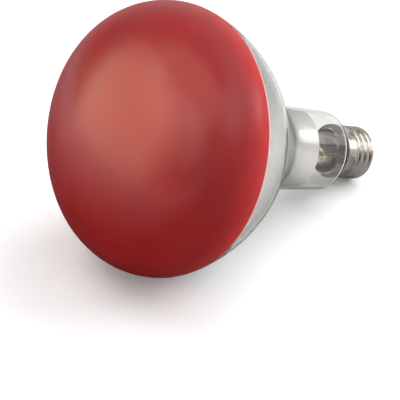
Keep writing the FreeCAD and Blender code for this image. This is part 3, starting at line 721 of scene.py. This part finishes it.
@dataclass(frozen=True)
class Arc:
    """A round stretch of the bulb's outline, in its direction of travel, with angles in degrees."""

    centre: Point
    radius: float
    first: float
    last: float
    steps: int
    hollow: bool = False

    def points(self, depth: float) -> list[Point]:
        """Work out the arc at a depth below the outer face.

        Args:
            depth: the depth in millimetres.

        Returns:
            Radius and station of each point.
        """
        radius = self.radius + depth if self.hollow else self.radius - depth
        angles = [self.first + (self.last - self.first) * i / self.steps for i in range(self.steps + 1)]
        return [(self.centre[0] + radius * math.cos(math.radians(a)),
                 self.centre[1] + radius * math.sin(math.radians(a))) for a in angles]


@dataclass
class Bulb:
    """The blown bulb with its lacquer and its silver, as one chain of arcs that run into each other."""

    bulb_radius: float = 62.5
    face_height: float = 41.9
    face_edge_radius: float = 34.1
    back_edge_radius: float = 25.0
    back_edge_turn: float = 16.2
    reflector_radius: float = 78.0
    throat_radius: float = 28.9
    neck_radius: float = 19.3
    neck_taper: float = 1.87
    neck_end: float = 143.2
    shoulder_radius: float = 2.6
    shoulder_slope: float = 78.4
    shoulder_hollow: float = 3.0
    glass_wall: float = 1.1
    tail_radius: float = 10.8
    tail_end: float = 163.6
    lacquer_end: float = 51.8
    lacquer_depth: float = 0.05
    silver_end: float = 124.4
    silver_depth: float = 0.03
    film_gap: float = 0.004

    def chain(self) -> list[Arc]:
        """Work out the arcs of the outer face, each of which runs on smoothly from the one before.

        Returns:
            The arcs, from the crown to the tail.
        """
        inner = self.bulb_radius - self.face_edge_radius
        face = (self.face_height ** 2 + inner ** 2 - self.face_edge_radius ** 2) / (
            2 * (self.face_height - self.face_edge_radius))
        face_turn = math.degrees(math.atan2(self.face_height - face, inner))
        turn = math.radians(self.back_edge_turn)
        back = (self.bulb_radius - self.back_edge_radius, self.face_height)
        shift = self.back_edge_radius - self.reflector_radius
        long_centre = (back[0] + shift * math.cos(turn), back[1] + shift * math.sin(turn))
        taper = math.radians(self.neck_taper)
        normal = (math.cos(taper), math.sin(taper))
        level = self.neck_radius * normal[0] + self.neck_end * normal[1]
        offset = level + self.throat_radius - long_centre[0] * normal[0] - long_centre[1] * normal[1]
        reach = math.sqrt((self.reflector_radius + self.throat_radius) ** 2 - offset ** 2)
        throat = (long_centre[0] + offset * normal[0] - reach * normal[1],
                  long_centre[1] + offset * normal[1] + reach * normal[0])
        throat_turn = math.degrees(math.atan2(throat[1] - long_centre[1], throat[0] - long_centre[0]))
        slope = math.radians(self.shoulder_slope)
        shoulder = (self.neck_radius - self.shoulder_radius * normal[0],
                    self.neck_end - self.shoulder_radius * normal[1])
        start = (shoulder[0] + self.shoulder_radius * math.cos(slope),
                 shoulder[1] + self.shoulder_radius * math.sin(slope))
        hollow_side = self.tail_radius + self.shoulder_hollow
        foot = hollow_side - self.shoulder_hollow * math.cos(slope)
        foot_station = start[1] + (start[0] - foot) / math.tan(slope)
        hollow = (hollow_side, foot_station + self.shoulder_hollow * math.sin(slope))
        return [
            Arc((0.0, face), face, -90.0, face_turn, steps=26),
            Arc((inner, self.face_height), self.face_edge_radius, face_turn, 0.0, steps=22),
            Arc(back, self.back_edge_radius, 0.0, self.back_edge_turn, steps=5),
            Arc(long_centre, self.reflector_radius, self.back_edge_turn, throat_turn, steps=34),
            Arc(throat, self.throat_radius, 180.0 + throat_turn, 180.0 + self.neck_taper, steps=18,
                hollow=True),
            Arc(shoulder, self.shoulder_radius, self.neck_taper, self.shoulder_slope, steps=10),
            Arc(hollow, self.shoulder_hollow, 180.0 + self.shoulder_slope, 180.0, steps=10, hollow=True),
        ]

    def wall(self, depth: float) -> list[Point]:
        """Draw the wall at a depth below the outer face.

        Args:
            depth: the depth in millimetres.

        Returns:
            Radius and station of each point, from the crown to the tail's end.
        """
        points: list[Point] = []
        for arc in self.chain():
            fresh = arc.points(depth)
            points += fresh[1:] if points and math.dist(points[-1], fresh[0]) < MM else fresh
        points[0] = (0.0, points[0][1])
        return points + [(self.tail_radius - depth, self.tail_end)]

    def stretch(self, depth: float, low: float, high: float) -> list[Point]:
        """Cut the part of the wall between two stations.

        Args:
            depth: how far below the outer face it lies.
            low: the station where it begins.
            high: the station where it ends.

        Returns:
            Radius and station of each point.
        """
        points = self.wall(depth)
        kept: list[Point] = []
        for a, b in zip(points, points[1:]):
            if b[1] <= low or a[1] >= high:
                continue
            for station, keep in ((low, not kept), (high, b[1] > high)):
                if keep and a[1] < station <= b[1]:
                    share = (station - a[1]) / (b[1] - a[1])
                    kept.append((a[0] + share * (b[0] - a[0]), station))
            if not kept:
                kept.append(a)
            if low < b[1] < high:
                kept.append(b)
        return sorted(set(kept), key=lambda p: p[1])

    def build(self, shop: Workshop, glass: Material, lacquer: Material, silver: Material) -> None:
        """Make the glass, the lacquer on its face and the silver on its inside.

        Args:
            shop: the workshop that turns the pieces.
            glass: material of the blown glass.
            lacquer: material of the red face.
            silver: material of the mirror.
        """
        # the glass draws back under the lacquer, so that the film stays inside the bulb's size
        sunk = self.stretch(self.lacquer_depth + self.film_gap, BEFORE_CROWN, self.lacquer_end)
        bare = [p for p in self.wall(0.0) if p[1] > self.lacquer_end + self.film_gap]
        inside = self.wall(self.glass_wall)
        film_top = self.stretch(0.0, BEFORE_CROWN, self.lacquer_end)
        film_back = self.stretch(self.lacquer_depth, BEFORE_CROWN, self.lacquer_end)
        near = self.glass_wall + self.film_gap
        mirror_top = self.stretch(near, self.lacquer_end, self.silver_end)
        mirror_back = self.stretch(near + self.silver_depth, self.lacquer_end, self.silver_end)
        for name, outline, closed, material, replaced in (
            ("bulb_envelope", sunk + bare + inside[::-1], False, glass, ["glass_bulb"]),
            ("face_lacquer", film_top + film_back[::-1], False, lacquer, []),
            ("reflector_silver", mirror_top + mirror_back[::-1], True, silver, []),
        ):
            piece = shop.turn(name, outline, closed)
            shop.smooth(piece, shop.turned_crease)
            shop.place(piece)
            shop.deliver(piece, material, replaced)


@dataclass
class ScrewShell:
    """The screw shell: rolled sheet with a plain collar, a rounded thread and a turned-in end."""

    mouth: float = 151.7
    radius: float = 13.1
    thread_depth: float = 0.9
    pitch: float = 3.629
    land: float = 0.6
    start: float = 155.8
    turns: float = 3.2
    angle: float = -14.0
    wall: float = 0.35
    rim_flare: float = 0.3
    rim_height: float = 0.7
    rim_half_flare: float = 0.35
    end: float = 168.8
    end_curve: float = 1.2
    end_steps: int = 8
    lip: float = 2.0
    columns: int = 180
    row: float = 0.18
    start_fade: float = 0.035
    end_fade: float = 0.12
    crease: float = 50.0

    def rows(self) -> list[Point]:
        """Work out the rings of the plain sheet.

        Returns:
            Radius and station of each ring, from the rim to the lip.
        """
        rings = [(self.radius + self.rim_flare, self.mouth),
                 (self.radius + self.rim_flare * self.rim_half_flare, self.mouth + self.rim_height * 0.5),
                 (self.radius, self.mouth + self.rim_height)]
        first = self.mouth + self.rim_height
        count = round((self.end - first) / self.row)
        rings += [(self.radius, first + (self.end - first) * (i + 1) / count) for i in range(count)]
        for i in range(1, self.end_steps + 1):
            turn = math.radians(90.0 * i / self.end_steps)
            rings.append((self.radius - self.end_curve + self.end_curve * math.cos(turn),
                          self.end + self.end_curve * math.sin(turn)))
        rings.append((self.radius - self.end_curve - self.lip, self.end + self.end_curve))
        return rings

    def groove(self, angle: float, station: float) -> float:
        """Work out the depth of the rolled thread at a place on the sheet.

        Args:
            angle: direction of the place round the axis, in radians.
            station: its station.

        Returns:
            The depth in millimetres.
        """
        share = ((angle - math.radians(self.angle)) / math.tau) % 1.0
        nearest = round((station - self.start) / self.pitch - share)
        turn = share + nearest
        if turn < 0.0 or turn > self.turns:
            return 0.0
        half = self.pitch / 2
        curve = (self.thread_depth ** 2 + half ** 2) / (4 * self.thread_depth)
        away = abs(station - self.start - self.pitch * turn)
        if away < half / 2:
            depth = self.thread_depth - curve + math.sqrt(curve ** 2 - away ** 2)
        else:
            side = min(half - away, half)
            depth = curve - math.sqrt(curve ** 2 - side ** 2) if side > self.land / 2 else 0.0
        # the thread runs in and out gently at its ends
        fade = min(1.0, turn / self.start_fade, (self.turns - turn) / self.end_fade)
        return depth * fade * fade * (3 - 2 * fade)

    def build(self, shop: Workshop, nickel: Material) -> None:
        """Make the shell.

        Args:
            shop: the workshop that places the piece.
            nickel: material of the plating.
        """
        rows = self.rows()
        bpy.ops.object.select_all(action="DESELECT")
        bpy.ops.mesh.primitive_circle_add(vertices=self.columns, radius=self.radius * MM,
                                          fill_type="NOTHING", location=(0.0, 0.0, 0.0))
        shell = bpy.context.active_object
        shell.name = "screw_shell"
        shell.data.name = "screw_shell"
        # the sheet is drawn with its rows a millimetre apart, and each row is then rolled to its place
        bpy.ops.object.mode_set(mode="EDIT")
        for _ in rows[1:]:
            bpy.ops.mesh.extrude_edges_move(TRANSFORM_OT_translate={"value": (0.0, 0.0, MM)})
        bpy.ops.object.mode_set(mode="OBJECT")
        for vertex in shell.data.vertices:
            radius, station = rows[round(vertex.co.z / MM)]
            angle = math.atan2(vertex.co.y, vertex.co.x)
            radius -= self.groove(angle, station)
            vertex.co = (radius * MM * math.cos(angle), radius * MM * math.sin(angle), station * MM)
        sheet = shell.modifiers.new("sheet", "SOLIDIFY")
        sheet.thickness = self.wall * MM
        sheet.offset = -1.0
        sheet.use_even_offset = True
        bpy.ops.object.mode_set(mode="EDIT")
        bpy.ops.mesh.select_all(action="SELECT")
        bpy.ops.mesh.normals_make_consistent(inside=False)
        bpy.ops.object.mode_set(mode="OBJECT")
        bpy.ops.object.modifier_apply(modifier=sheet.name)
        shop.smooth(shell, self.crease)
        shop.place(shell)
        shop.deliver(shell, nickel, ["cap_shell"])


@dataclass(frozen=True)
class Filament:
    """The filament: tungsten wire, coiled and bent to an open ring round the axis.

    The real wire and its pitch are finer. They are drawn coarser, so that the coil shows.
    """

    ring: float = 14.0
    station: float = 93.0
    coil: float = 1.1
    gap: float = 30.0
    middle: float = -90.0
    wire: float = 0.16
    pitch: float = 0.85
    points_a_turn: int = 14
    sides: int = 6
    crease: float = 60.0

    def route(self) -> list[Vector]:
        """Work out the coiled wire.

        Returns:
            Points along it, in the lamp's own coordinates.
        """
        first = math.radians(self.middle + self.gap)
        arc = math.tau - 2 * math.radians(self.gap)
        turns = round(arc * self.ring / self.pitch)
        count = turns * self.points_a_turn
        radius = self.coil - self.wire
        points = []
        for i in range(count + 1):
            angle = first + arc * i / count
            turn = math.tau * turns * i / count
            reach = self.ring + radius * math.cos(turn)
            points.append(Vector((reach * math.cos(angle), reach * math.sin(angle),
                                  self.station + radius * math.sin(turn))))
        return points

    def build(self, shop: Workshop, tungsten: Material) -> None:
        """Coil the filament.

        Args:
            shop: the workshop that bends the wire.
            tungsten: material of the wire.
        """
        coil = shop.draw_wire("filament_coil", self.route(), self.wire, self.sides)
        shop.smooth(coil, self.crease)
        shop.place(coil)
        shop.deliver(coil, tungsten, ["filament"])


@dataclass(frozen=True)
class WhiteFloor:
    """The floor and the world: white to the camera, and a plain level of light on the lamp.

    What the glossy pieces mirror is darker in front of the lamp than behind it, apart from a lit sheet of
    paper that lies further out in front of the face. Sizes are in metres.
    """

    size: float = 12.0
    albedo: float = 0.62
    seen: float = 0.9
    mirrored_front: float = 0.01
    mirrored_back: float = 0.32
    fade: Point = (-0.12, 0.1)
    sheet_way: tuple[float, float, float] = (-0.3, -0.95, 0.0)
    sheet_fade: Point = (0.1, 0.36)
    sheet_level: float = 0.65
    shadow_reach: Point = (0.22, 0.42)
    world_level: float = 0.6
    room_front: float = 0.05
    room_back: float = 0.66
    room_fade: Point = (-0.4, 0.6)

    def seen_plainly(self, tree: NodeTree) -> NodeSocket:
        """Tell whether a ray comes from the camera, straight or through glass.

        Args:
            tree: the node tree.

        Returns:
            One for such a ray and none for another.
        """
        path = add_node(tree, "ShaderNodeLightPath")
        return add_node(tree, "ShaderNodeMath", {"operation": "MAXIMUM"}, {
            0: path.outputs["Is Camera Ray"], 1: path.outputs["Is Transmission Ray"],
        }).outputs["Value"]

    def level(self, tree: NodeTree, plain: float, mirrored: NodeSocket, seen: float) -> NodeSocket:
        """Choose a level by the kind of ray.

        Args:
            tree: the node tree.
            plain: the level that lights the lamp.
            mirrored: the level in reflections.
            seen: the level that the camera sees.

        Returns:
            The level.
        """
        path = add_node(tree, "ShaderNodeLightPath")
        unseen = add_node(tree, "ShaderNodeMix", {"data_type": "FLOAT"}, {
            "Factor": path.outputs["Is Glossy Ray"], VALUE_A: plain, VALUE_B: mirrored,
        }).outputs[VALUE_RESULT]
        return add_node(tree, "ShaderNodeMix", {"data_type": "FLOAT"}, {
            "Factor": self.seen_plainly(tree), VALUE_A: unseen, VALUE_B: seen,
        }).outputs[VALUE_RESULT]

    def floor(self) -> None:
        """Lay a floor of matt white paper, which takes the shadow and has no shine."""
        bpy.ops.object.select_all(action="DESELECT")
        bpy.ops.mesh.primitive_plane_add(size=self.size, location=(0.0, 0.0, 0.0))
        floor = bpy.context.active_object
        floor.name = "white_floor"
        material = bpy.data.materials.new("white_paper")
        tree = blank_tree(material)
        where = add_node(tree, "ShaderNodeTexCoord").outputs["Object"]
        along = add_node(tree, "ShaderNodeSeparateXYZ", inputs={"Vector": where}).outputs["Y"]
        ground = add_node(tree, "ShaderNodeMapRange", inputs={
            "Value": along, "From Min": self.fade[0], "From Max": self.fade[1],
            "To Min": self.mirrored_front, "To Max": self.mirrored_back,
        }).outputs["Result"]
        ahead = add_node(tree, "ShaderNodeVectorMath", {"operation": "DOT_PRODUCT"}, {
            0: where, 1: self.sheet_way,
        }).outputs["Value"]
        sheet = add_node(tree, "ShaderNodeMapRange", inputs={
            "Value": ahead, "From Min": self.sheet_fade[0], "From Max": self.sheet_fade[1],
            "To Min": 0.0, "To Max": self.sheet_level,
        }).outputs["Result"]
        mirrored = add_node(tree, "ShaderNodeMath", {"operation": "MAXIMUM"}, {
            0: ground, 1: sheet,
        }).outputs["Value"]
        paper = add_node(tree, "ShaderNodeBsdfDiffuse", inputs={
            "Color": self.level(tree, self.albedo, mirrored, self.seen),
        })
        # past the lamp's shadow the floor runs on into the white of the world
        away = add_node(tree, "ShaderNodeVectorMath", {"operation": "LENGTH"}, {0: where}).outputs["Value"]
        beyond = add_node(tree, "ShaderNodeMapRange", {"interpolation_type": "SMOOTHSTEP"}, {
            "Value": away, "From Min": self.shadow_reach[0], "From Max": self.shadow_reach[1],
            "To Min": 0.0, "To Max": self.seen_plainly(tree),
        }).outputs["Result"]
        white = add_node(tree, "ShaderNodeEmission", inputs={"Color": WHITE})
        shader = add_node(tree, "ShaderNodeMixShader", inputs={
            "Fac": beyond, 1: paper.outputs["BSDF"], 2: white.outputs["Emission"],
        })
        add_node(tree, "ShaderNodeOutputMaterial", inputs={"Surface": shader.outputs["Shader"]})
        floor.data.materials.append(material)

    def world(self) -> None:
        """Light the world."""
        world = bpy.data.worlds.new("studio")
        bpy.context.scene.world = world
        tree = blank_tree(world)
        along = add_node(tree, "ShaderNodeSeparateXYZ", inputs={
            "Vector": add_node(tree, "ShaderNodeTexCoord").outputs["Generated"],
        }).outputs["Y"]
        room = add_node(tree, "ShaderNodeMapRange", inputs={
            "Value": along, "From Min": self.room_fade[0], "From Max": self.room_fade[1],
            "To Min": self.room_front, "To Max": self.room_back,
        }).outputs["Result"]
        shader = add_node(tree, "ShaderNodeBackground", inputs={
            "Color": WHITE, "Strength": self.level(tree, self.world_level, room, 1.0),
        })
        add_node(tree, "ShaderNodeOutputWorld", inputs={"Surface": shader.outputs["Background"]})


@dataclass(frozen=True)
class SoftLight:
    """A soft box, given by the direction in degrees that it shines from, and by sizes in metres."""

    name: str
    azimuth: float
    elevation: float
    distance: float
    width: float
    height: float
    power: float
    colour: str = "FFFFFF"
    rays: Rays = Rays.FILL

    def build(self, target: Vector) -> None:
        """Hang the soft box.

        Args:
            target: the place that it points at.
        """
        way = way_to(self.azimuth, self.elevation)
        data = bpy.data.lights.new(self.name, "AREA")
        data.shape = "ELLIPSE"
        data.size = self.width
        data.size_y = self.height
        data.energy = self.power
        data.color = linear(self.colour)[:3]
        lamp = bpy.data.objects.new(self.name, data)
        lamp.location = target + way * self.distance
        lamp.rotation_euler = way.to_track_quat("Z", "Y").to_euler()
        for kind in ("diffuse", "glossy", "transmission"):
            setattr(lamp, f"visible_{kind}", kind in self.rays.value)
        bpy.context.scene.collection.objects.link(lamp)


# Each light has its azimuth, elevation, distance, width, height and power.
# The fills light the lamp from all round and throw its shadow to the front and the left.
FILLS = (
    SoftLight("fill_left", -80.0, 40.0, 1.4, 1.0, 1.0, 8.5),
    SoftLight("fill_front", -20.0, 14.0, 1.3, 1.2, 0.6, 3.6),
    SoftLight("fill_camera", 50.0, 18.0, 1.3, 1.2, 0.7, 4.6),
    SoftLight("fill_side", 112.0, 30.0, 1.3, 1.0, 0.8, 2.5),
    SoftLight("fill_right", 150.0, 35.0, 1.3, 0.8, 0.8, 9.0),
    SoftLight("fill_back", 190.0, 50.0, 1.4, 1.0, 1.0, 8.0),
    SoftLight("fill_top", 235.0, 55.0, 1.4, 1.0, 1.0, 1.0),
)
# The sheens show as haze on the satin lacquer and as bright bands on the nickel.
SHEENS = (
    SoftLight("sheen_left", -30.0, 17.0, 1.3, 1.8, 1.7, 31.0, WARM, Rays.SHEEN),
    SoftLight("sheen_middle", 24.0, 34.0, 1.3, 1.3, 1.0, 4.5, PALE, Rays.SHEEN),
    SoftLight("sheen_top", 20.0, 64.0, 1.3, 2.1, 1.6, 17.0, PALE, Rays.SHEEN),
    SoftLight("strip_side", 108.0, 40.0, 1.3, 0.8, 0.8, 1.8, rays=Rays.SHEEN),
    SoftLight("strip_back", 158.0, 12.0, 1.2, 0.6, 0.4, 1.1, rays=Rays.SHEEN),
)
# This one shows only in the silver behind the glass.
MIRRORED = (
    SoftLight("strip_mirror", 150.0, 30.0, 1.2, 0.9, 0.9, 2.4, rays=Rays.BEHIND_GLASS),
)


@dataclass(frozen=True)
class PhotoCamera:
    """The camera at the photograph's place, fitted to the lamp's outline there."""

    azimuth: float = 54.48
    elevation: float = 29.84
    distance: float = 775.0
    focal_pixels: float = 1708.95
    frame_pixels: float = 400.0
    sensor: float = 36.0
    station: float = 50.0
    station_pixel: Point = (174.54, 139.71)
    clip_start: float = 10.0

    def build(self, axis: LampAxis) -> None:
        """Set up the camera: it looks at the place that falls on the middle of the photograph.

        Args:
            axis: where the lamp lies.
        """
        away = way_to(self.azimuth, self.elevation)
        turn = math.radians(self.azimuth)
        right = Vector((math.cos(turn), math.sin(turn), 0.0))
        up = away.cross(right)
        known = axis.place(self.station)
        place = known + away * self.distance * MM
        middle = self.frame_pixels / 2
        pixel = self.distance * MM / self.focal_pixels
        aim = known + right * (middle - self.station_pixel[0]) * pixel
        aim = aim - up * (middle - self.station_pixel[1]) * pixel
        data = bpy.data.cameras.new("camera")
        data.sensor_width = self.sensor
        data.lens = self.focal_pixels / self.frame_pixels * self.sensor
        data.clip_start = self.clip_start * MM
        camera = bpy.data.objects.new("camera", data)
        camera.location = place
        camera.rotation_euler = (place - aim).to_track_quat("Z", "Y").to_euler()
        bpy.context.scene.collection.objects.link(camera)
        bpy.context.scene.camera = camera


def dress_nodes(frame: dict[str, Any], shop: Workshop, finishes: dict[Slot, Material]) -> None:
    """Give every node of the frame its finish, and stand a smooth copy in for it if no piece does.

    Args:
        frame: what the frame's load gave.
        shop: the workshop that makes the copies.
        finishes: the material for each slot of the record.
    """
    for part in frame["record"]["subparts"]:
        node = frame["nodes"][part["node"]]
        slot = Slot(part["material_slot"])
        for held in node.material_slots:
            held.material = finishes[slot]
        if part["node"] not in MADE_ANEW:
            shop.smooth_copy(node, finishes[slot])


def main() -> None:
    """Build the lamp's looks, the studio and the camera."""
    logging.basicConfig(level=logging.INFO, format="%(message)s")
    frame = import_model()
    axis = LampAxis.from_record(frame["record"])
    shop = Workshop(axis)
    finishes = make_finishes(axis)
    dress_nodes(frame, shop, finishes)
    Bulb().build(shop, finishes[Slot.BULB_GLASS], RubyLacquer(axis).build(), SilverFilm(axis).build())
    ScrewShell().build(shop, finishes[Slot.NICKEL_SHELL])
    Filament().build(shop, finishes[Slot.TUNGSTEN])
    studio = WhiteFloor()
    studio.floor()
    studio.world()
    for light in FILLS + SHEENS + MIRRORED:
        light.build(axis.place(LIGHT_TARGET_STATION))
    PhotoCamera().build(axis)
    bpy.context.scene.view_settings.view_transform = "Standard"


if __name__ == "__main__":
    main()
